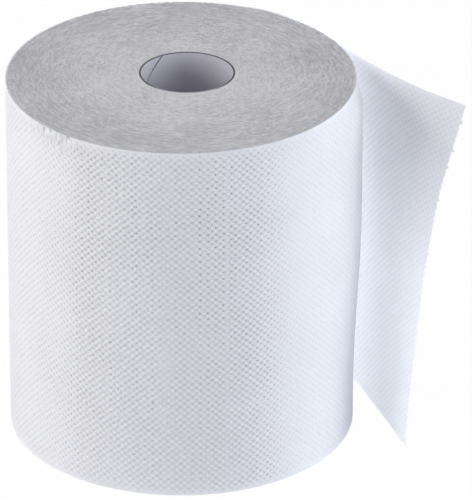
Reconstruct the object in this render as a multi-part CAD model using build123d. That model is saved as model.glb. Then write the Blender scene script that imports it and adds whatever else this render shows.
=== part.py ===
"""Paper towel roll standing on its end: a two-ply web wound on a card core, its last sheet hanging loose.

Millimetres, +Z up along the core, with the origin on the core's axis at the foot of the roll.
"""
from build123d import *
import os
from math import copysign, cos, hypot, radians, sin

# Wound web
roll_radius = 95.0
web_width = 206.0
web_thickness = 0.4

# Card core, wound from a slanting strip whose edges meet in a helical seam
bore_radius = 25.0
core_wall = 0.8
seam_lead = 150.0
seam_width = 0.6
seam_depth = 0.3
seam_mouth_angle = 123.0

# The turns are slack, so the middle of the roll lies off the core's axis
middle_x = -3.1
middle_y = -4.7

# The first turns stand off the core at both ends
core_gap = 0.7
core_gap_depth = 4.0

# On both ends a band of turns lies low between bands that stand proud, and winds in with the web
band_pitch = 18.0
low_band_width = 9.0
low_band_depth = 0.5
band_margin = 4.0

# Loose sheet in plan: a run that relaxes off the roll, then a run that flares.
# Angles are in degrees, and each table goes from the low edge through mid-height to the top edge.
leave_angle = 70.0
lift_angle = 4.0
loose_length = 173.0
first_run_shares = (0.55, 0.57, 0.39)
first_turns = (55.0, 54.0, 46.0)
second_turns = (-1.5, 6.5, 23.5)
height_shares = (0.0, 0.5, 1.0)

# The low edge of the loose sheet lifts off the floor towards its torn corner
corner_rise = 5.0
rise_start_share = 0.25

# Every cut runs past the faces that it opens
overrun = 1.0

core_radius = bore_radius + core_wall
at_foot = (Align.CENTER, Align.CENTER, Align.MIN)


def spiral(first_radius, pitch, halves):
    """Half circles about two centres, in line with +X, that close in by the pitch with each full turn."""
    arcs = []
    for half in range(halves):
        side = -1 if half % 2 else 1
        start = side * (first_radius - half * pitch / 2)
        end = -side * (first_radius - (half + 1) * pitch / 2)
        arcs.append(ThreePointArc((start, 0), ((start + end) / 2, side * abs(start - end) / 2), (end, 0)))
    return arcs


def wound_turns():
    """The roll without its loose sheet: the last turn ends in a step, one web thick, where the sheet leaves."""
    outer, inner = spiral(roll_radius, web_thickness, 2)
    inner_corner, outer_corner = root_corners()
    outer = ThreePointArc(outer_corner, outer @ 0.5, outer @ 1)
    outline = make_face([outer, inner, Line(inner_corner, outer_corner)])
    return extrude(outline, web_width)


def root_corners():
    """Inner and outer corner of the step that the loose sheet grows from, square to the way it leaves."""
    inner_corner = Vector(roll_radius - web_thickness, 0)
    across = Vector(cos(radians(lift_angle)), sin(radians(lift_angle)))
    return inner_corner, inner_corner + across * web_thickness


def sheet_face(start, side, first_run, first_turn, second_turn):
    """One face of the loose sheet in plan: two tangent arcs from the step to the torn edge."""
    leaving = Vector(sin(radians(lift_angle)), -cos(radians(lift_angle)))
    half_web = side * web_thickness / 2
    first_radius = first_run / radians(first_turn) + half_web
    first = JernArc(start, leaving, first_radius, -first_turn)
    second_run = loose_length - first_run
    second_radius = second_run / radians(abs(second_turn)) - half_web * copysign(1, second_turn)
    second = JernArc(first @ 1, first % 1, second_radius, second_turn)
    return first, second


def sheet_section(share, first_turn, second_turn):
    """Outline of the loose sheet at one height."""
    inner_corner, outer_corner = root_corners()
    first_run = share * loose_length
    outer = sheet_face(outer_corner, 1, first_run, first_turn, second_turn)
    inner = sheet_face(inner_corner, -1, first_run, first_turn, second_turn)
    root = Line(inner_corner, outer_corner)
    torn_edge = Line(outer[1] @ 1, inner[1] @ 1)
    return make_face([root, *outer, torn_edge, *inner])


def loose_sheet():
    """The last sheet: its sections lofted from the floor to the top, with the low edge cut on the rise."""
    sections = [sheet_section(*row) for row in zip(first_run_shares, first_turns, second_turns)]
    sheet = loft([Pos(0, 0, share * web_width) * face for share, face in zip(height_shares, sections)])
    reach = -sections[0].bounding_box().min.Y
    fold = rise_start_share * reach
    slope = corner_rise / (reach - fold)
    floor = Plane(origin=(0, -fold, 0), x_dir=(1, 0, 0), z_dir=(0, slope, 1))
    return split(sheet, bisect_by=floor, keep=Keep.TOP)


def low_bands():
    """Spiral cut along the low band of turns, for the foot and for the top."""
    first_radius = roll_radius - band_margin
    off_axis = hypot(middle_x, middle_y)
    wound_depth = first_radius - low_band_width - off_axis - core_radius - core_gap - band_margin
    halves = int(2 * wound_depth / band_pitch)
    outer = spiral(first_radius, band_pitch, halves)
    inner = spiral(first_radius - low_band_width, band_pitch, halves)
    ends = [Line(outer[0] @ 0, inner[0] @ 0), Line(outer[-1] @ 1, inner[-1] @ 1)]
    band = extrude(make_face([*outer, *inner, *ends]), low_band_depth + overrun)
    return [Pos(0, 0, -overrun) * band, Pos(0, 0, web_width - low_band_depth) * band]


def towel_paper():
    """Wound turns and loose sheet in one solid, bored for the core and opened round it at both ends."""
    paper = Rot(0, 0, leave_angle) * (wound_turns() + loose_sheet())
    paper -= [Rot(0, 0, leave_angle) * band for band in low_bands()]
    paper = Pos(middle_x, middle_y, 0) * paper
    paper -= Pos(0, 0, -overrun) * Cylinder(core_radius, web_width + 2 * overrun, align=at_foot)
    gap = Cylinder(core_radius + core_gap, core_gap_depth + overrun, align=at_foot)
    paper -= [Pos(0, 0, -overrun) * gap, Pos(0, 0, web_width - core_gap_depth) * gap]
    return paper


def core_tube():
    """Tube with the open seam of its inner ply, which meets the upper mouth at the seam's angle."""
    tube = Cylinder(core_radius, web_width, align=at_foot) - Cylinder(bore_radius, web_width, align=at_foot)
    seam_height = web_width + 2 * overrun
    path = Helix(seam_lead, seam_height, bore_radius, lefthand=True)
    groove = Plane(path @ 0, x_dir=(1, 0, 0), z_dir=path % 0) * Rectangle(2 * seam_depth, seam_width)
    seam = sweep(groove, path, is_frenet=True)
    mouth_turn = 360 * (web_width + overrun) / seam_lead
    tube -= Pos(0, 0, -overrun) * Rot(0, 0, seam_mouth_angle + mouth_turn) * seam
    return tube


os.makedirs("parts", exist_ok=True)
for name, solid in (("core_tube", core_tube()), ("towel_paper", towel_paper())):
    solid.label = name
    export_step(solid, f"parts/{name}.step")
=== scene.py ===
"""Paper towel roll standing on its end: embossed web, wound edges and card core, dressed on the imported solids.

Metres, +Z up along the core, with the origin on the core's axis at the foot of the roll.
"""
from math import cos, exp, pi, radians, sin, tau

import bmesh
import bpy
from mathutils import Matrix, Vector


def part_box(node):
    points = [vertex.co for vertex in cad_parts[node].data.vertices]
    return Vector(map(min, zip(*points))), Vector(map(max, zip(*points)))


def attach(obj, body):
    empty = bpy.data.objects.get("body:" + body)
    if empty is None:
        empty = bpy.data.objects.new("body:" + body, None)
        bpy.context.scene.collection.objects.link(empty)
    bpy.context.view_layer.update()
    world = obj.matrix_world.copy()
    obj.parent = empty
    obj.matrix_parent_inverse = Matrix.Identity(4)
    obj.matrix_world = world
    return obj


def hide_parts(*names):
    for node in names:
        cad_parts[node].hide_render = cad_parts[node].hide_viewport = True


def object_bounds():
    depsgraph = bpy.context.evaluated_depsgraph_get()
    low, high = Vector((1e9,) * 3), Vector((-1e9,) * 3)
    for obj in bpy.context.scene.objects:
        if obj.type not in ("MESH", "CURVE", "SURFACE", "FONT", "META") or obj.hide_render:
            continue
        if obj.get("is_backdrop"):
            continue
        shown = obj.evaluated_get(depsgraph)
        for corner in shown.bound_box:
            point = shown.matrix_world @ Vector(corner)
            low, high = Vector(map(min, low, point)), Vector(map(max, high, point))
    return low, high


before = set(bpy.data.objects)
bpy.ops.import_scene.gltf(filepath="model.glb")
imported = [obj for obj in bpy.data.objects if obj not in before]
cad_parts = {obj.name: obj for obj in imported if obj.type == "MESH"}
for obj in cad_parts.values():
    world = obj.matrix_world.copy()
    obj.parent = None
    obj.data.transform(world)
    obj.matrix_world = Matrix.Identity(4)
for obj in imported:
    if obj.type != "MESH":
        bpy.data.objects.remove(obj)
cad_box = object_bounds()

MM = 0.001
ORIGIN = (0.0, 0.0, 0.0)
UP = (0.0, 0.0, 1.0)
WHITE = (1.0, 1.0, 1.0, 1.0)

# Sizes read off the solids
paper_low, paper_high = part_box("towel_paper")
web_width = paper_high.z - paper_low.z
core_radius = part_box("core_tube")[1].x

# Wound web and core, as in the solids
roll_radius = 95.0 * MM
roll_middle = Vector((-3.1, -4.7, 0.0)) * MM
web_thickness = 0.4 * MM
core_gap = 0.7 * MM
core_gap_depth = 4.0 * MM
band_pitch = 18.0 * MM
band_margin = 4.0 * MM
seam_lead = 150.0 * MM
seam_mouth_angle = radians(123.0)

# Loose sheet, as in the solids. Each table goes from the low edge through mid-height to the top edge.
leave_angle = radians(70.0)
lift_angle = radians(4.0)
loose_length = 173.0 * MM
first_run_shares = (0.55, 0.57, 0.39)
first_turns = (55.0, 54.0, 46.0)
second_turns = (-1.5, 6.5, 23.5)
corner_rise = 5.0 * MM
rise_start_share = 0.25

# Emboss: pits in rows, every second row set over by half a pitch
half_columns = 280
pit_rows = 106
column_step = tau * roll_radius / half_columns
row_step = web_width / pit_rows
pit_mouth_share = 0.44
pit_shoulder = 0.22
turn_pit_depth = 0.7 * MM
turn_margin = 2.5 * MM
ply_pit_depth = 0.28 * MM
ply_margin = 1.6 * MM

# Pits differ in depth and lie a little out of their rows. A single grain is the scale of a noise, per metre.
pit_variation = 0.7
pit_variation_grain = 160.0
pit_stray = 1.3 * MM
pit_stray_grain = 330.0

# Stretches where the emboss is pressed out, on the roll's two sides towards the lamps, where it also takes less
# painted shade: first and last angle in degrees, fade, and share that is lost
smooth_stretches = ((176.0, 239.0, 16.0 * MM, 0.5), (290.0, 390.0, 36.0 * MM, 0.82))

# The loose sheet has whole columns of pits, and a few more that lap under the last turn
loose_columns = round(loose_length / column_step)
root_columns = 2

# Slow wave of the loose sheet, and the runs of sheet over which it sets in
sheet_wave = 0.9 * MM
wave_grain = 22.0
wave_runs = (0.1 * loose_length, 0.6 * loose_length)

# Torn edge: nubs where the snag is strong, and a finer fray along the rest
tear_reach = 2.2 * MM
tear_grain = 420.0
torn_columns = 1.2
nub_threshold = 0.08
nub_gain = 14.0
fray = 0.8

# Ears of the torn edge, one at the top and a smaller one below the middle, over shares of the width
ear_reach = 3.0 * MM
ear_start_share = 0.75
top_ear = (0.7, 1.0)
low_ear = (0.08, 0.22, 0.35, 0.55)
low_ear_share = 0.6

# Slack bulge of the last turn under the loose sheet: it eases in and out between these angles and heights
slack_bulge = 3.7 * MM
slack_angles = (316.0, 350.0, 356.0, 380.0)
slack_heights = (20.0 * MM, 130.0 * MM, 191.0 * MM, 205.0 * MM)

# Short crimps in the last turn under its upper rim: angle in degrees, depth, width, length
rim_crimps = (
    (221.5, 2.6 * MM, 1.5 * MM, 9.0 * MM),
    (224.5, 1.8 * MM, 1.3 * MM, 6.0 * MM),
    (231.5, 2.4 * MM, 1.4 * MM, 7.0 * MM),
    (304.0, 1.0 * MM, 1.5 * MM, 5.0 * MM),
)
# How deep a crimp is felt, the widths that it spreads over, the lip beside it, and how far the rim sinks with it
crimp_reach = 10.0 * MM
crimp_spread = 3.0
crimp_lip = 0.6
crimp_sink = 0.4

# Small nicks all round that rim: angle, depth and length go on by an uneven step from each nick to the next
rim_nicks = 150
nick_turn = 0.618034
nick_width = 1.1 * MM
nick_depth, nick_least_depth, nick_depth_step = 0.45 * MM, 0.3, 0.5285
nick_length, nick_least_length, nick_length_step = 6.0 * MM, 0.4, 0.342

# The last turn is a shell, and the wound body reaches into it, out from the uneven mouth round the core
turn_inner_radius = roll_radius - 2.5 * web_thickness
wound_outer_radius = roll_radius - 1.5 * web_thickness
wound_inner_radius = core_radius + 0.35 * core_gap
mouth_slack = 0.6 * core_gap
mouth_grain = 3.0

# Edges of the turns on both ends. A pair of numbers for a grain says how fine it is round the roll and across it.
edge_pitch = 1.3 * MM
edge_columns = 400
edge_spare_rows = 4
edge_margin = 2.5 * MM
band_depth = 0.3 * MM
ridge_grain = (9.0, 420.0)
swath_grain = (3.0, 90.0)
# They waver and stand up by noises, each a share and the scale that it is read at
edge_waver, waver_scale = 2.2 * MM, 0.7
edge_relief = 0.4 * MM
ridge_share = 0.25
swath_share, swath_scale = 0.8, 1.6
tangle_share, tangle_scale = 1.6, 1.3

# Paper as a material. Creping and rucks have a grain along the web and one up it.
fibre_grain = 900.0
cloud_grain = 26.0
crepe_grain = (2600.0, 500.0)
paper_roughness = 0.88
paper_gloss = 0.25
paper_bump = 0.6
turn_fuzz, turn_bump_depth = 2.0, 0.3 * MM
loose_fuzz, loose_bump_depth = 0.35, 0.16 * MM

# Emboss in the paper's colour, with painted shade in its pits and painted highlights on its beads: how far fibres
# and clouds break up its pits, its beads and the mottle between them
rising_share = 0.3
pit_fade, pit_fibre, pit_cloud = (0.6, 1.05), 0.8, 0.2
bead_fade, bead_fibre = (0.45, 1.05), 0.6
mottle_fade, mottle_cloud = (-0.3, 0.45), 0.5
mottle_share = 0.7
# Painted shade: how much darker the wound paper is painted where its emboss is full
emboss_shade = 0.6

# Shares of the bump's depth that creping adds to the fibres, and that the emboss and the creases take
crepe_relief = 0.4
lattice_relief = 0.8
pit_relief = 0.6
bead_relief = 0.3
crease_relief = 2.4

# Rucks in the last turn under the crimps
ruck_angle = radians(226.0)
ruck_reaches = (6.4 * MM, 32.0 * MM)
ruck_height = 16.0 * MM
ruck_margin = 2.0 * MM
ruck_grain = (340.0, 70.0)
ruck_flattening = 0.7
crease_width = 0.06
# Painted shade in the crease lines of the rucks
crease_shade = 0.24

# Loose paper: runs of sheet over which it comes free of the roll, thins out, and loses a share of its emboss
free_runs = (0.0, 0.25 * loose_length)
thin_runs = (0.3 * loose_length, 0.85 * loose_length)
relaxed_runs = (0.5 * loose_length, loose_length)
relaxed_share = 0.45
# Share of the light that comes through, and how it changes outwards, upwards and into the outer top corner
light_through = 0.725
light_lost_outwards = 0.22
light_gained_upwards = 0.05
light_lost_at_corner = 0.31
upper_heights = (0.4 * web_width, web_width)
# Emboss and fibres show against that light
pit_in_light = 0.12
lattice_in_light = 0.06
fibre_in_light = 0.04

# Cut edges of the turns as a material: streaks, then finer threads, and curls in patches
streak_grain = (11.0, 650.0)
thread_grain, thread_share = (30.0, 1400.0), 0.8
curl_grain, curl_share = (60.0, 700.0), 1.2
curl_patch_grain, curl_patch_fade = 45.0, (0.0, 0.2)
edge_cloud_grain, edge_cloud_share = 30.0, 0.4
edge_fade = (-0.35, 0.35)
edge_lightening = 0.14
rim_darkening = 0.22
edge_roughness = 0.92
edge_gloss = 0.2
edge_bump, edge_bump_depth = 0.6, 0.8 * MM

# Card of the core as a material. The dark cut ends, partly the card's raw edge and partly painted shadow of the
# gap round the core, fade over these distances, and are paler towards the front, where less of that painted shadow
# is put.
card_fibre_grain = 700.0
card_cloud_grain = 60.0
card_fade = (-0.5, 0.6)
seam_fade = (0.35 * MM, 0.65 * MM)
raw_end_and_shadow_waver = 0.3 * MM
raw_end_and_shadow_fade = (0.5 * web_width - 0.4 * MM, 0.5 * web_width - 0.1 * MM)
raw_end_and_shadow_front_fade = (0.6 * core_radius, 0.95 * core_radius)
raw_end_and_shadow_front_share = 0.8
card_roughness = 0.8
card_gloss = 0.3
card_bump, card_bump_depth = 0.3, 0.2 * MM

# Roughness of every finish follows its fibres by this much
rough_variation = 0.1

# Colours
turn_tone = (0.85, 0.86, 0.915, 1.0)
turn_dim_tone = (0.74, 0.745, 0.795, 1.0)
# Pit tones are painted shade in the emboss pits
turn_pit_shade_tone = (0.22, 0.225, 0.265, 1.0)
loose_tone = (0.86, 0.87, 0.91, 1.0)
loose_dim_tone = (0.76, 0.765, 0.81, 1.0)
loose_pit_shade_tone = (0.62, 0.63, 0.68, 1.0)
# Painted highlight on the beads between the pits
bead_highlight_tone = (0.96, 0.965, 0.99, 1.0)
glow_tone = (0.94, 0.95, 0.97, 1.0)
edge_tone = (0.89, 0.885, 0.925, 1.0)
edge_dark_tone = (0.57, 0.565, 0.60, 1.0)
card_tone = (0.70, 0.69, 0.77, 1.0)
card_dark_tone = (0.62, 0.61, 0.68, 1.0)
# Dark of the raw card, also used for painted shadow in the gap round the core
card_raw_edge_and_gap_shadow_tone = (0.12, 0.115, 0.12, 1.0)
floor_tone = (0.9, 0.9, 0.91, 1.0)
room_tone = (0.94, 0.95, 1.0, 1.0)

# Making of the meshes
guide_steps = 240
turn_step_share = 0.01
corner_angle = radians(60.0)
weld = 0.02 * MM

# Floor and room, as the camera sees them and as they light the roll
floor_reach = 6.0
floor_whiteness = 0.97
room_strength = 0.05

# Camera: yaw, pitch and roll in radians, sensor and lens in millimetres
camera_place = Vector((45.0, -2965.1, 1626.1)) * MM
camera_yaw, camera_pitch, camera_roll = -0.0062, 0.4758, 0.0021
camera_sensor, camera_lens = 36.0, 438.3

# Soft lamps, all aimed at the middle of the roll: name, place, width and height, power in watts, colour
lamp_aim = Vector((0.0, 0.0, web_width / 2))
soft_lamps = (
    ("left window", (-1.465, -0.605, 0.45), (1.2, 1.2), 21.9, (1.0, 0.985, 0.95)),
    ("right window", (1.49, -0.54, 0.45), (1.8, 1.5), 28.8, (0.93, 0.965, 1.0)),
    ("white backdrop", (0.9, 1.5, 0.4), (2.2, 1.0), 5.5, (0.95, 0.97, 1.0)),
    ("back window", (-0.35, 1.65, 0.5), (1.2, 1.2), 6.0, (0.97, 0.98, 1.0)),
    ("top window", (-0.15, -0.3, 1.65), (1.0, 0.7), 6.1, (1.0, 0.99, 1.0)),
)


def web_run(angle):
    """Length of web from where the loose sheet leaves, back round the roll to an angle."""
    return roll_radius * ((angle - leave_angle) % tau)


class Wire:
    """A socket that can be reckoned with: each operator adds the Math node that it stands for."""

    def __init__(self, bench, socket):
        self.bench = bench
        self.socket = socket

    def math(self, operation, *terms):
        return self.bench.add("ShaderNodeMath", {"operation": operation}, dict(enumerate(terms)))[0]

    def __add__(self, other):
        return self.math("ADD", self, other)

    def __sub__(self, other):
        return self.math("SUBTRACT", self, other)

    def __rsub__(self, other):
        return self.math("SUBTRACT", other, self)

    def __mul__(self, other):
        return self.math("MULTIPLY", self, other)

    def __truediv__(self, other):
        return self.math("DIVIDE", self, other)

    def __mod__(self, other):
        return self.math("FLOORED_MODULO", self, other)

    def __pow__(self, other):
        return self.math("POWER", self, other)

    def __lt__(self, other):
        return self.math("LESS_THAN", self, other)

    def __gt__(self, other):
        return self.math("GREATER_THAN", self, other)

    def __neg__(self):
        return self.math("SUBTRACT", 0.0, self)

    def __abs__(self):
        return self.math("ABSOLUTE", self)

    def __round__(self):
        return self.math("ROUND", self)

    __radd__ = __add__
    __rmul__ = __mul__

    def cosine(self):
        return self.math("COSINE", self)

    def sine(self):
        return self.math("SINE", self)

    def at_least(self, low):
        return self.math("MAXIMUM", self, low)

    def at_most(self, high):
        return self.math("MINIMUM", self, high)

    def held(self, low, high):
        return self.at_least(low).at_most(high)


class Node:
    """A node that was added, read by the name or number of its outputs."""

    def __init__(self, bench, node):
        self.bench = bench
        self.node = node

    def __getitem__(self, key):
        return Wire(self.bench, self.node.outputs[key])


class Bench:
    """A node tree with one way to add a node: its type, its settings, then its sockets."""

    def __init__(self, tree):
        self.tree = tree

    def add(self, kind, settings=None, sockets=None):
        node = self.tree.nodes.new(kind)
        for name, value in (settings or {}).items():
            setattr(node, name, value)
        for key, value in (sockets or {}).items():
            if isinstance(value, Wire):
                self.tree.links.new(value.socket, node.inputs[key])
            else:
                node.inputs[key].default_value = value
        return Node(self, node)

    def parts(self, vector):
        split = self.add("ShaderNodeSeparateXYZ", {}, {0: vector})
        return split[0], split[1], split[2]

    def vector(self, x, y, z):
        return self.add("ShaderNodeCombineXYZ", {}, {0: x, 1: y, 2: z})[0]

    def vector_math(self, operation, *terms):
        return self.add("ShaderNodeVectorMath", {"operation": operation}, dict(enumerate(terms)))[0]

    def scaled(self, vector, factor):
        return self.add("ShaderNodeVectorMath", {"operation": "SCALE"}, {0: vector, "Scale": factor})[0]

    def mixed(self, factor, first, second):
        return self.add("ShaderNodeMix", {"data_type": "RGBA"}, {0: factor, 6: first, 7: second})[2]

    def noise(self, vector, scale=1.0, detail=2.0, roughness=0.5):
        """Noise about nought, from about -0.5 to 0.5."""
        sockets = {"Vector": vector, "Scale": scale, "Detail": detail, "Roughness": roughness}
        return self.add("ShaderNodeTexNoise", {}, sockets)[0] - 0.5

    def web_grain(self, along, up, grain):
        """Where to read a noise that is finer along the web than up it."""
        return self.vector(along * grain[0], up * grain[1], 0.0)

    def round_grain(self, east, north, radius, grain):
        """Where to read a noise that runs round the roll and is finer across it."""
        return self.vector(east * grain[0], north * grain[0], radius * grain[1])

    def eased(self, value, low, high):
        """From 0 at low to 1 at high, without a corner at either end."""
        settings = {"interpolation_type": "SMOOTHSTEP"}
        return self.add("ShaderNodeMapRange", settings, {0: value, 1: low, 2: high, 3: 0.0, 4: 1.0})[0]

    def bell(self, value, low, full, fading, gone):
        """From 0 at low up to 1 at full, and from fading back down to 0 where it is gone."""
        return self.eased(value, low, full) * (1.0 - self.eased(value, fading, gone))

    def pressed(self, along):
        """How much of the emboss is left along the web of the last turn."""
        left = 1.0
        for first, last, fade, lost in smooth_stretches:
            start, end = web_run(radians(first)), web_run(radians(last))
            left = left * (1.0 - lost * self.bell(along, start, start + fade, end - fade, end))
        return left

    def joined(self, front, back):
        """Two meshes as one, the second with its faces turned over."""
        turned = self.add("GeometryNodeFlipFaces", {}, {0: back})[0]
        both = self.add("GeometryNodeJoinGeometry", {}, {0: front})
        self.tree.links.new(turned.socket, both.node.inputs[0])
        return both[0]

    def matt_skin(self, colour, roughness, gloss, height, bump, depth):
        """A dull surface with a fine relief."""
        relief = self.add("ShaderNodeBump", {}, {"Strength": bump, "Distance": depth, "Height": height})
        return self.add("ShaderNodeBsdfPrincipled", {}, {
            "Base Color": colour, "Roughness": roughness, "Normal": relief[0], "Specular IOR Level": gloss})[0]

    def seen_straight(self):
        """1 for rays from the camera, also by way of gloss or glass, and 0 for those that light the roll."""
        rays = self.add("ShaderNodeLightPath")
        return (rays["Is Camera Ray"] + rays["Is Glossy Ray"] + rays["Is Transmission Ray"]).held(0.0, 1.0)


def fresh_bench(owner):
    """The bench of a material or a world, with its nodes cleared."""
    owner.use_nodes = True
    owner.node_tree.nodes.clear()
    return Bench(owner.node_tree)


def linked(name, data):
    """A new object in the scene."""
    thing = bpy.data.objects.new(name, data)
    bpy.context.scene.collection.objects.link(thing)
    return thing


def grown(name, tree, mesh, settings):
    """The object that a Geometry Nodes tree makes of a mesh, as a plain mesh with no modifier."""
    piece = linked(name, mesh)
    modifier = piece.modifiers.new(tree.name, "NODES")
    modifier.node_group = tree
    for item in tree.interface.items_tree:
        if item.in_out == "INPUT" and item.name in settings:
            modifier[item.identifier] = settings[item.name]
    evaluated = piece.evaluated_get(bpy.context.evaluated_depsgraph_get())
    grown_mesh = bpy.data.meshes.new_from_object(evaluated)
    piece.modifiers.clear()
    piece.data = grown_mesh
    grown_mesh.name = name
    bpy.data.meshes.remove(mesh)
    return piece


def node_tree(name, inputs):
    """An empty Geometry Nodes tree with named inputs, and the bench to build it on."""
    tree = bpy.data.node_groups.new(name, "GeometryNodeTree")
    tree.interface.new_socket("Geometry", in_out="INPUT", socket_type="NodeSocketGeometry")
    for label, kind in inputs.items():
        tree.interface.new_socket(label, in_out="INPUT", socket_type="NodeSocket" + kind)
    tree.interface.new_socket("Geometry", in_out="OUTPUT", socket_type="NodeSocketGeometry")
    bench = Bench(tree)
    return tree, bench, bench.add("NodeGroupInput")


def close_tree(bench, geometry, material):
    """Ends a tree: real geometry, smooth, in its material."""
    smooth = bench.add("GeometryNodeSetShadeSmooth", {}, {0: geometry})[0]
    real = bench.add("GeometryNodeRealizeInstances", {}, {0: smooth})[0]
    dressed = bench.add("GeometryNodeSetMaterial", {}, {"Geometry": real, "Material": material})[0]
    bench.add("NodeGroupOutput", {}, {0: dressed})


def off_edge(given, along, up):
    """How far a point of the flat web lies from its nearest edge."""
    off_sides = up.at_most(given["Width"] - up)
    return off_sides.at_most(along.at_most(given["Length"] - along))


def pitted_web(b, given, place, worn):
    """The flat web: a pit on every second point of a grid, trimmed to its edges, with its rows a little astray."""
    length, width = given["Length"], given["Width"]
    column, row = length / given["Columns"], width / given["Rows"]
    along, up, height = b.parts(place)
    grid = b.add("GeometryNodeMeshGrid", {}, {
        "Size X": length, "Size Y": width, "Vertices X": given["Columns"] + 1, "Vertices Y": given["Rows"] + 1})
    corner = b.vector(length * 0.5, width * 0.5, 0.0)
    sites = b.add("GeometryNodeSetPosition", {}, {"Geometry": grid["Mesh"], "Offset": corner})[0]
    every_second = (round(along / column) + round(up / row)) % 2.0 < 0.5
    uneven = 1.0 + given["Pit variation"] * b.noise(place, pit_variation_grain)
    if worn:
        uneven = uneven * b.pressed(along)
    pits = b.add("GeometryNodeInstanceOnPoints", {}, {
        "Points": sites, "Selection": every_second, "Instance": given["Geometry"],
        "Scale": b.vector(column, row, given["Pit depth"] * uneven)})[0]
    tiles = b.add("GeometryNodeRealizeInstances", {}, {0: pits})[0]
    web = b.add("GeometryNodeMergeByDistance", {}, {"Geometry": tiles, "Distance": weld})[0]
    outside = (along < 0.0) + (along > length) + (up < 0.0) + (up > width)
    web = b.add("GeometryNodeDeleteGeometry", {"domain": "FACE"}, {"Geometry": web, "Selection": outside})[0]
    flat = b.vector(along, up, height / given["Pit depth"] * -1.0)
    web = b.add("GeometryNodeStoreNamedAttribute", {"data_type": "FLOAT_VECTOR", "domain": "POINT"}, {
        "Geometry": web, "Name": "web", "Value": flat})[0]
    sideways = b.noise(b.vector_math("ADD", place, UP), pit_stray_grain)
    stray = b.vector(b.noise(place, pit_stray_grain), sideways, 0.0)
    stray = b.scaled(stray, given["Stray"] * b.eased(off_edge(given, along, up), 0.0, 2.0 * column))
    return b.add("GeometryNodeSetPosition", {}, {"Geometry": web, "Offset": stray})[0]


def guided(b, given, along_share, up_share):
    """Place and heading of the bent web: the three guides, blended by the parabola through their heights."""
    weights = {
        "Low guide": (1.0 - up_share) * (1.0 - 2.0 * up_share),
        "Middle guide": 4.0 * up_share * (1.0 - up_share),
        "Top guide": up_share * (2.0 * up_share - 1.0)}
    spot, heading = ORIGIN, ORIGIN
    for label, weight in weights.items():
        guide = b.add("GeometryNodeObjectInfo", {}, {"Object": given[label]})["Geometry"]
        read = b.add("GeometryNodeSampleCurve", {"mode": "FACTOR"}, {"Curves": guide, "Factor": along_share})
        spot = b.vector_math("ADD", spot, b.scaled(read["Position"], weight))
        heading = b.vector_math("ADD", heading, b.scaled(read["Tangent"], weight))
    return spot, heading


def web_tree(name, plies):
    """The pitted web bent along its guides, as one worn ply or as two that meet at their edges."""
    tree, b, given = node_tree(name, {
        "Length": "Float", "Width": "Float", "Columns": "Int", "Rows": "Int", "Pit depth": "Float",
        "Pit variation": "Float", "Thickness": "Float", "Edge taper": "Float", "Tear": "Float", "Ear": "Float",
        "Wave": "Float", "Stray": "Float", "Slack": "Float", "Rise": "Float", "Rise start": "Float",
        "Low guide": "Object", "Middle guide": "Object", "Top guide": "Object", "Paper": "Material"})
    length = given["Length"]
    place = b.add("GeometryNodeInputPosition")[0]
    along, up, height = b.parts(place)
    along_share, up_share = along / length, up / given["Width"]
    web = pitted_web(b, given, place, plies == 1)
    spot, heading = guided(b, given, along_share, up_share)
    outward = b.vector_math("NORMALIZE", b.vector_math("CROSS_PRODUCT", heading, UP))

    # The low edge rises towards the torn corner
    risen = (along_share - given["Rise start"]) / (1.0 - given["Rise start"])
    lift = up + given["Rise"] * (1.0 - up_share) * risen.at_least(0.0)
    spot = b.vector_math("ADD", spot, b.vector(0.0, 0.0, lift))

    # The torn edge reaches on in nubs and ears
    snag = b.noise(b.vector(0.0, up, 0.0), tear_grain, 3.0, 0.7)
    nubs = nub_gain * (snag - nub_threshold).at_least(0.0) + fray * snag
    torn = given["Tear"] * nubs * b.eased(along, length - torn_columns * length / given["Columns"], length)
    ears = b.eased(up_share, *top_ear) + low_ear_share * b.bell(up_share, *low_ear)
    torn = torn + given["Ear"] * ears * b.eased(along, ear_start_share * length, length)
    spot = b.vector_math("ADD", spot, b.scaled(b.vector_math("NORMALIZE", heading), torn))

    # Wave and slack swell outwards
    slack = b.bell(along, *(web_run(radians(angle)) for angle in slack_angles)) * b.bell(up, *slack_heights)
    swell = given["Wave"] * b.noise(place, wave_grain, 1.0) * b.eased(along, *wave_runs) + given["Slack"] * slack
    full = b.eased(off_edge(given, along, up), 0.0, given["Edge taper"])

    def laid(side, relief):
        rise = swell + (side * given["Thickness"] + relief * height) * full
        moved = b.vector_math("ADD", spot, b.scaled(outward, rise))
        return b.add("GeometryNodeSetPosition", {}, {"Geometry": web, "Position": moved})[0]

    spread = laid(0.0, 1.0) if plies == 1 else b.joined(laid(0.5, -1.0), laid(-0.5, -1.0))
    closed = b.add("GeometryNodeMergeByDistance", {}, {"Geometry": spread, "Distance": weld})[0]
    close_tree(b, closed, given["Paper"])
    return tree


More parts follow.
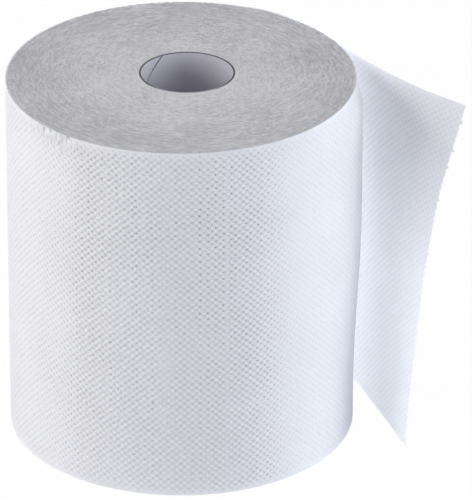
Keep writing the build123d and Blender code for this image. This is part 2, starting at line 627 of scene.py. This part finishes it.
def ends_tree():
    """Edges of the wound turns on the top and the foot: a spiral of ridges that waver and run together."""
    tree, b, given = node_tree("turn edges", {
        "Inner radius": "Float", "Outer radius": "Float", "Height": "Float", "Pitch": "Float", "Rows": "Int",
        "Columns": "Int", "Relief": "Float", "Waver": "Float", "Gap": "Float", "Band": "Float",
        "Middle": "Vector", "Edges": "Material"})
    inner, outer, rows = given["Inner radius"], given["Outer radius"], given["Rows"]
    grid = b.add("GeometryNodeMeshGrid", {}, {
        "Size X": rows, "Size Y": 1.0, "Vertices X": rows + 1, "Vertices Y": given["Columns"] + 1})
    across, round_share, _ = b.parts(b.add("GeometryNodeInputPosition")[0])
    rail = round(across + rows * 0.5)
    turn = round_share + 0.5
    angle = turn * tau
    east, north = angle.cosine(), angle.sine()
    radius = inner + given["Pitch"] * (rail * 0.5 + turn - 1.0)
    ridges = b.round_grain(east, north, radius, ridge_grain)
    swaths = b.round_grain(east, north, radius, swath_grain)
    clear = b.eased((radius - inner).at_most(outer - radius), 0.0, edge_margin)

    # Turns waver in and out, and the first ones stand off the core unevenly
    mouth = inner + given["Gap"] * b.noise(b.vector(east, north, 0.0), mouth_grain, 3.0)
    wavered = (radius + given["Waver"] * b.noise(ridges, waver_scale) * clear).held(mouth, outer)
    slack = b.scaled(given["Middle"], (wavered - inner) / (outer - inner))

    # Every second rail is a crest, and the low band of the solids winds in with them
    ridge = 1.0 - 2.0 * (rail % 2.0)
    crest = ridge * (ridge_share + swath_share * b.noise(swaths, swath_scale))
    crest = crest + tangle_share * b.noise(ridges, tangle_scale)
    phase = (outer - band_margin - radius) / band_pitch - (turn - leave_angle / tau)
    low = 0.5 + 0.5 * ((phase - 0.25) * tau).cosine()
    depth = (given["Relief"] * (crest - 0.5) - given["Band"] * low) * clear

    def laid(height):
        spot = b.vector_math("ADD", slack, b.vector(wavered * east, wavered * north, height))
        end = b.add("GeometryNodeSetPosition", {}, {"Geometry": grid["Mesh"], "Position": spot})[0]
        return b.add("GeometryNodeMergeByDistance", {}, {"Geometry": end, "Distance": weld})[0]

    close_tree(b, b.joined(laid(given["Height"] + depth), laid(-depth)), given["Edges"])
    return tree


def pit_tile():
    """One cell of the emboss, in units of the lattice: a lozenge of flat web with a pit in its middle."""
    mesh = bpy.data.meshes.new("pit")
    ways = ((1.0, 0.0), (0.0, 1.0), (-1.0, 0.0), (0.0, -1.0))
    points = [(0.0, 0.0, -1.0)]
    points += [(x * pit_mouth_share, y * pit_mouth_share, -pit_shoulder) for x, y in ways]
    points += [(x, y, 0.0) for x, y in ways]
    faces = [(0, 1 + k, 1 + (k + 1) % 4) for k in range(4)]
    faces += [(1 + k, 5 + k, 5 + (k + 1) % 4, 1 + (k + 1) % 4) for k in range(4)]
    mesh.from_pydata(points, [], faces)
    return mesh


def guide_curve(name, points):
    """A path in plan for the web to follow."""
    curve = bpy.data.curves.new(name, "CURVE")
    curve.dimensions = "3D"
    spline = curve.splines.new("POLY")
    spline.points.add(len(points) - 1)
    for point, (x, y) in zip(spline.points, points):
        point.co = (x, y, 0.0, 1.0)
    return linked(name, curve)


def turn_path():
    """Plan of the last turn, which winds in by one web and steps out again under the loose sheet's root."""
    points = []
    steps = 4 * guide_steps
    for k in range(steps + 1):
        share = k / steps
        stepped_out = (1 - share) * (1 - turn_step_share) / turn_step_share
        radius = roll_radius - web_thickness * min(share, stepped_out)
        angle = leave_angle + tau * share
        points.append((roll_middle.x + radius * cos(angle), roll_middle.y + radius * sin(angle)))
    return points


def loose_path(first_share, first_turn, second_turn):
    """Plan of the loose sheet at one height: from under the last turn, off the roll, and round two arcs."""
    lap = root_columns * column_step
    step = (lap + loose_columns * column_step) / guide_steps
    radius = roll_radius - web_thickness / 2
    start = leave_angle + lap / radius
    place = roll_middle.xy + Vector((radius * cos(start), radius * sin(start)))
    points = [tuple(place)]
    first_run = first_share * loose_length
    for k in range(guide_steps):
        run = (k + 0.5) * step - lap
        if run < 0:
            heading = leave_angle - run / radius - pi / 2
        else:
            first = radians(first_turn) * min(run / first_run, 1.0)
            second = radians(second_turn) * max(run - first_run, 0.0) / (loose_length - first_run)
            heading = leave_angle + lift_angle - pi / 2 - first + second
        place = place + Vector((cos(heading), sin(heading))) * step
        points.append(tuple(place))
    return points


def opened(piece):
    """The mesh of a piece, opened to be worked on."""
    bm = bmesh.new()
    bm.from_mesh(piece.data)
    return bm


def open_loops(bm):
    """The open edges of a mesh, as one list of edges for each loop, in order of height and then of radius."""
    open_edges = [edge for edge in bm.edges if edge.is_boundary]
    left = set(open_edges)
    loops = []
    for first in open_edges:
        if first not in left:
            continue
        left.remove(first)
        ring, reach = [first], list(first.verts)
        while reach:
            for edge in reach.pop().link_edges:
                if edge in left:
                    left.remove(edge)
                    ring.append(edge)
                    reach += edge.verts
        loops.append(ring)
    return sorted(loops, key=lambda ring: (round(loop_height(ring), 4), loop_radius(ring)))


def loop_height(ring):
    return sum(edge.verts[0].co.z for edge in ring) / len(ring)


def loop_radius(ring):
    return sum(edge.verts[0].co.xy.length for edge in ring) / len(ring)


def set_radius(vert, radius, middle):
    """Moves a corner straight out or in, to a radius about a middle."""
    vert.co.xy = middle.xy + (vert.co.xy - middle.xy).normalized() * radius


def drawn_on(bm, ring, radius=None, height=None, middle=Vector()):
    """A wall from an open loop to the same loop at another radius or height, and the loop it ends in."""
    made = bmesh.ops.extrude_edge_only(bm, edges=ring)["geom"]
    for vert in (item for item in made if isinstance(item, bmesh.types.BMVert)):
        if radius is not None:
            set_radius(vert, radius, middle)
        if height is not None:
            vert.co.z = height
    return [item for item in made if isinstance(item, bmesh.types.BMEdge) and item.is_boundary]


def rim_dents():
    """Crimps and nicks of the upper rim: where each lies about the roll's middle, its depth, width and length."""
    dents = list(rim_crimps)
    for k in range(rim_nicks):
        angle = 360.0 * (k * nick_turn % 1.0)
        depth = nick_depth * (nick_least_depth + k * nick_depth_step % 1.0)
        length = nick_length * (nick_least_length + k * nick_length_step % 1.0)
        dents.append((angle, depth, nick_width, length))
    return [(Vector((cos(radians(angle)), sin(radians(angle)))) * roll_radius, *sizes) for angle, *sizes in dents]


def pinch_rim(bm):
    """Presses the crimps and nicks into the upper rim, with the turns under it giving way less and less."""
    dents = rim_dents()
    for vert in bm.verts:
        off_middle = vert.co.xy - roll_middle.xy
        radius = off_middle.length
        if vert.co.z < web_width - crimp_reach or radius < roll_radius - crimp_reach:
            continue
        rim = off_middle * (roll_radius / radius)
        give = 1 - (roll_radius - radius) / crimp_reach
        pressed_in = 0.0
        for place, depth, width, length in dents:
            off = (rim - place).length / width
            near_rim = max(0.0, 1 - (web_width - vert.co.z) / length)
            if off < crimp_spread:
                pressed_in += depth * give * near_rim * near_rim * (1 - crimp_lip * off * off) * exp(-off * off)
        set_radius(vert, radius - pressed_in, roll_middle)
        vert.co.z -= crimp_sink * max(pressed_in, 0.0)


def finish_mesh(piece, bm):
    """Writes a worked mesh back with its faces turned outwards and its sharp corners kept."""
    bmesh.ops.recalc_face_normals(bm, faces=bm.faces)
    for face in bm.faces:
        face.smooth = True
    bm.to_mesh(piece.data)
    bm.free()
    piece.data.set_sharp_from_angle(angle=corner_angle)


def paper_material(name, tones, fuzz, bump_depth, through):
    """Two-ply tissue: soft fibre mottle, fine creping across the web, painted shade in the pits and creases, and
    painted highlights on the beads.

    Paper that lets light through is loose. The other is wound, so it is pressed smooth and rucked in places, and
    painted darker where its emboss is full.
    """
    material = bpy.data.materials.new(name)
    b = fresh_bench(material)
    tone, dim_tone, pit_shade_tone = tones
    along, up, _ = b.parts(b.add("ShaderNodeAttribute", {"attribute_name": "web"})["Vector"])
    place = b.add("ShaderNodeTexCoord")["Object"]
    fibre = b.noise(place, fibre_grain, 3.0, 0.65)
    cloud = b.noise(place, cloud_grain)
    crepe = b.noise(b.web_grain(along, up, crepe_grain))

    # How much of the emboss shows, and where the wound paper is creased
    embossed = b.eased(up.at_most(web_width - up), 0.0, 2.0 * turn_margin)
    if through:
        embossed = embossed * (1.0 - relaxed_share * b.eased(along, *relaxed_runs))
        free = b.eased(along, *free_runs)
        pit_shade_tone = b.mixed(free, turn_pit_shade_tone, pit_shade_tone)
        crease, shaded = 0.0, 0.0
    else:
        off_ruck = abs(along - web_run(ruck_angle))
        rucked = 1.0 - b.eased(off_ruck, *ruck_reaches)
        rucked = rucked * b.eased(up, web_width - ruck_height, web_width - ruck_margin)
        ruck = b.noise(b.web_grain(along, up, ruck_grain))
        # crease marks thin creases in the rucks, for painted shade in the colour and for the bump
        crease = (1.0 - b.eased(abs(ruck), 0.0, crease_width)) * rucked
        embossed = embossed * b.pressed(along) * (1.0 - ruck_flattening * rucked)
        # Painted shade of the full emboss, weaker in the pressed stretches on the sides towards the lamps
        shaded = emboss_shade * embossed

    # Ridges that rise and fall along the web: a pit lies where two of them cross, and a bead between the pits
    across, climb = along * (pi / column_step), up * (pi / row_step)
    rising, falling = (across - climb).cosine(), (across + climb).cosine()
    crossing = 0.5 * (rising + falling)
    lattice = (0.5 + 0.5 * rising_share) * rising + (0.5 - 0.5 * rising_share) * falling
    # pit marks the pits: painted shade in their colour, depth in their bump, and less light through the loose
    # sheet
    pit = b.eased(crossing + pit_fibre * fibre + pit_cloud * cloud, *pit_fade) * embossed
    # bead marks the beads between the pits: a painted highlight in their colour, and a rise in their bump
    bead = b.eased(bead_fibre * fibre - crossing, *bead_fade) * embossed

    mottle = b.eased(fibre + mottle_cloud * cloud, *mottle_fade) * mottle_share
    # The dim tone takes the fibre mottle and the painted shade of the emboss
    colour = b.mixed(mottle + shaded, tone, dim_tone)
    # Pits and creases take the pits' painted shade tone, over the beads' painted highlight
    colour = b.mixed(pit + crease_shade * crease, b.mixed(bead, colour, bead_highlight_tone), pit_shade_tone)
    height = fuzz * (fibre + crepe_relief * crepe) - lattice_relief * lattice * embossed
    height = height - pit_relief * pit + bead_relief * bead - crease_relief * crease
    roughness = paper_roughness + rough_variation * fibre
    skin = b.matt_skin(colour, roughness, paper_gloss, height, paper_bump, bump_depth)
    if through:
        glow = b.add("ShaderNodeBsdfTranslucent", {}, {"Color": glow_tone})[0]
        outer, upper = b.eased(along, *thin_runs), b.eased(up, *upper_heights)
        light = through - light_lost_outwards * outer
        light = light + (light_gained_upwards - light_lost_at_corner * outer) * upper
        light = light - pit_in_light * pit - lattice_in_light * lattice * embossed + fibre_in_light * fibre
        skin = b.add("ShaderNodeMixShader", {}, {0: free * light, 1: skin, 2: glow})[0]
    b.add("ShaderNodeOutputMaterial", {}, {"Surface": skin})
    return material


def edges_material():
    """Cut edges of the turns, side by side: short streaks that run round the roll, curled in patches."""
    material = bpy.data.materials.new("cut edges")
    b = fresh_bench(material)
    place = b.add("ShaderNodeTexCoord")["Object"]
    x, y, _ = b.parts(place)
    radius = (x * x + y * y) ** 0.5
    east, north = x / radius, y / radius
    streak = b.noise(b.round_grain(east, north, radius, streak_grain), 1.0, 3.0, 0.6)
    thread = b.noise(b.round_grain(east, north, radius, thread_grain))
    curl = b.noise(b.round_grain(east, north, radius, curl_grain))
    curly = b.eased(b.noise(place, curl_patch_grain, 1.0), *curl_patch_fade)
    grain = streak + thread_share * thread + curl_share * curl * curly
    cloud = b.noise(place, edge_cloud_grain)
    rimward = b.eased(radius, core_radius, roll_radius)
    lit = grain + edge_cloud_share * cloud + edge_lightening - rim_darkening * rimward
    colour = b.mixed(b.eased(lit, *edge_fade), edge_dark_tone, edge_tone)
    roughness = edge_roughness + rough_variation * streak
    skin = b.matt_skin(colour, roughness, edge_gloss, grain, edge_bump, edge_bump_depth)
    b.add("ShaderNodeOutputMaterial", {}, {"Surface": skin})
    return material


def card_material():
    """Grey card: a smooth liner with faint fibres, raw and dark along its cut ends and in its open seam, with
    painted shadow of the gap round the core in the dark of the cut ends.
    """
    material = bpy.data.materials.new("core card")
    b = fresh_bench(material)
    place = b.add("ShaderNodeTexCoord")["Object"]
    x, y, z = b.parts(place)
    fibre = b.noise(place, card_fibre_grain, 3.0, 0.6)
    cloud = b.noise(place, card_cloud_grain)
    colour = b.mixed(b.eased(fibre + cloud, *card_fade), card_tone, card_dark_tone)
    turn = seam_mouth_angle + (web_width - z) * (tau / seam_lead)
    ahead, aside = turn.cosine(), turn.sine()
    off_seam = abs(y * ahead - x * aside)
    seam = (1.0 - b.eased(off_seam, *seam_fade)) * ((x * ahead + y * aside) > 0.0)
    # Cut ends: dark raw card with painted shadow of the gap round the core, less of it towards the front
    raw_end_and_gap_shadow = b.eased(abs(z - 0.5 * web_width) + raw_end_and_shadow_waver * fibre, *raw_end_and_shadow_fade)
    raw_end_and_gap_shadow = raw_end_and_gap_shadow * (1.0 - raw_end_and_shadow_front_share * b.eased(-y, *raw_end_and_shadow_front_fade))
    colour = b.mixed(seam.at_least(raw_end_and_gap_shadow), colour, card_raw_edge_and_gap_shadow_tone)
    roughness = card_roughness + rough_variation * fibre
    skin = b.matt_skin(colour, roughness, card_gloss, fibre, card_bump, card_bump_depth)
    b.add("ShaderNodeOutputMaterial", {}, {"Surface": skin})
    return material


def floor_material():
    """White floor: the camera sees it near white, with the roll's soft shadow on it."""
    material = bpy.data.materials.new("white floor")
    b = fresh_bench(material)
    matt = b.add("ShaderNodeBsdfDiffuse", {}, {"Color": floor_tone})[0]
    glow = b.add("ShaderNodeEmission", {}, {"Color": WHITE, "Strength": 1.0})[0]
    both = b.add("ShaderNodeMixShader", {}, {0: b.seen_straight() * floor_whiteness, 1: matt, 2: glow})
    b.add("ShaderNodeOutputMaterial", {}, {"Surface": both[0]})
    return material


def soft_lamp(name, place, size, power, colour):
    """A rectangular lamp aimed at the roll."""
    data = bpy.data.lights.new(name, "AREA")
    data.shape = "RECTANGLE"
    data.size, data.size_y = size
    data.energy = power
    data.color = colour
    lamp = linked(name, data)
    lamp.location = place
    lamp.rotation_euler = (lamp_aim - Vector(place)).to_track_quat("-Z", "Y").to_euler()


# Last turn and loose sheet, both bent from flat embossed web
turn_paper = paper_material(
    "embossed paper", (turn_tone, turn_dim_tone, turn_pit_shade_tone), turn_fuzz, turn_bump_depth, 0.0)
loose_paper = paper_material(
    "loose paper", (loose_tone, loose_dim_tone, loose_pit_shade_tone), loose_fuzz, loose_bump_depth, light_through)
whole_turn = guide_curve("turn guide", turn_path())
loose_guides = [guide_curve(f"loose guide {k}", loose_path(*row))
                for k, row in enumerate(zip(first_run_shares, first_turns, second_turns))]
outer_turn = grown("outer_turn", web_tree("last turn", 1), pit_tile(), {
    "Length": tau * roll_radius, "Width": web_width, "Columns": half_columns, "Rows": pit_rows,
    "Pit depth": turn_pit_depth, "Pit variation": pit_variation, "Stray": pit_stray,
    "Thickness": 0.0, "Edge taper": turn_margin, "Tear": 0.0, "Ear": 0.0,
    "Wave": 0.0, "Slack": slack_bulge, "Rise": 0.0, "Rise start": 0.0,
    "Low guide": whole_turn, "Middle guide": whole_turn, "Top guide": whole_turn, "Paper": turn_paper})
loose_sheet = grown("loose_sheet", web_tree("loose sheet", 2), pit_tile(), {
    "Length": (loose_columns + root_columns) * column_step, "Width": web_width,
    "Columns": loose_columns + root_columns, "Rows": pit_rows,
    "Pit depth": ply_pit_depth, "Pit variation": pit_variation, "Stray": pit_stray,
    "Thickness": web_thickness, "Edge taper": ply_margin, "Tear": tear_reach, "Ear": ear_reach,
    "Wave": sheet_wave, "Slack": 0.0, "Rise": corner_rise, "Rise start": rise_start_share,
    "Low guide": loose_guides[0], "Middle guide": loose_guides[1], "Top guide": loose_guides[2],
    "Paper": loose_paper})
for guide in [whole_turn, *loose_guides]:
    bpy.data.objects.remove(guide)

# Where the two plies coincide, at the corners of the lapped root, the weld leaves flaps with an open edge
sheet_bm = opened(loose_sheet)
flaps = [face for face in sheet_bm.faces if any(edge.is_boundary for edge in face.edges)]
bmesh.ops.delete(sheet_bm, geom=flaps, context="FACES")
finish_mesh(loose_sheet, sheet_bm)

# The last turn is closed by a wall inside it
turn_bm = opened(outer_turn)
foot_ring, top_ring = (
    drawn_on(turn_bm, ring, radius=turn_inner_radius, middle=roll_middle) for ring in open_loops(turn_bm))
bmesh.ops.bridge_loops(turn_bm, edges=foot_ring + top_ring)
pinch_rim(turn_bm)
finish_mesh(outer_turn, turn_bm)

# Edges of the turns on the top and the foot, with the wound body between them
edge_rows = 2 * round((wound_outer_radius - wound_inner_radius) / edge_pitch) + edge_spare_rows
wound_turns = grown("wound_turns", ends_tree(), bpy.data.meshes.new("turns"), {
    "Inner radius": wound_inner_radius, "Outer radius": wound_outer_radius, "Height": web_width,
    "Pitch": edge_pitch, "Rows": edge_rows, "Columns": edge_columns, "Relief": edge_relief,
    "Waver": edge_waver, "Gap": mouth_slack, "Band": band_depth, "Middle": roll_middle,
    "Edges": edges_material()})
wound_bm = opened(wound_turns)
foot_inner, foot_outer, top_inner, top_outer = open_loops(wound_bm)
top_inner = drawn_on(wound_bm, top_inner, height=web_width - core_gap_depth)
foot_inner = drawn_on(wound_bm, foot_inner, height=core_gap_depth)
top_inner = drawn_on(wound_bm, top_inner, radius=core_radius)
foot_inner = drawn_on(wound_bm, foot_inner, radius=core_radius)
bmesh.ops.bridge_loops(wound_bm, edges=top_inner + foot_inner)
bmesh.ops.bridge_loops(wound_bm, edges=top_outer + foot_outer)
pinch_rim(wound_bm)
finish_mesh(wound_turns, wound_bm)

# The core is the solid itself, in card
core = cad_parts["core_tube"]
core.data.materials.clear()
core.data.materials.append(card_material())

for piece in (outer_turn, loose_sheet, wound_turns):
    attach(piece, "root")
    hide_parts("towel_paper")

# Floor
floor_mesh = bpy.data.meshes.new("floor")
floor_corners = [(x * floor_reach, y * floor_reach, 0.0) for x, y in ((-1, -1), (1, -1), (1, 1), (-1, 1))]
floor_mesh.from_pydata(floor_corners, [], [(0, 1, 2, 3)])
floor_mesh.materials.append(floor_material())
floor = linked("floor", floor_mesh)
floor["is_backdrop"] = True

# Camera
forward = Vector((sin(camera_yaw) * cos(camera_pitch), cos(camera_yaw) * cos(camera_pitch), -sin(camera_pitch)))
level = Vector((cos(camera_yaw), -sin(camera_yaw), 0.0))
right = cos(camera_roll) * level + sin(camera_roll) * level.cross(forward)
above = right.cross(forward)
camera_data = bpy.data.cameras.new("camera")
camera_data.sensor_width = camera_sensor
camera_data.lens = camera_lens
camera = linked("camera", camera_data)
camera.matrix_world = Matrix((right, above, -forward)).transposed().to_4x4()
camera.location = camera_place
bpy.context.scene.camera = camera

# Light
for lamp in soft_lamps:
    soft_lamp(*lamp)
world = bpy.data.worlds.new("studio")
bpy.context.scene.world = world
air = fresh_bench(world)
room = air.add("ShaderNodeBackground", {}, {"Color": room_tone, "Strength": room_strength})[0]
backdrop = air.add("ShaderNodeBackground", {}, {"Color": WHITE, "Strength": 1.0})[0]
both = air.add("ShaderNodeMixShader", {}, {0: air.seen_straight(), 1: room, 2: backdrop})
air.add("ShaderNodeOutputWorld", {}, {"Surface": both[0]})
bpy.context.scene.view_settings.view_transform = "Standard"

visual_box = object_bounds()
{"cad": [list(corner) for corner in cad_box], "visual": [list(corner) for corner in visual_box]}
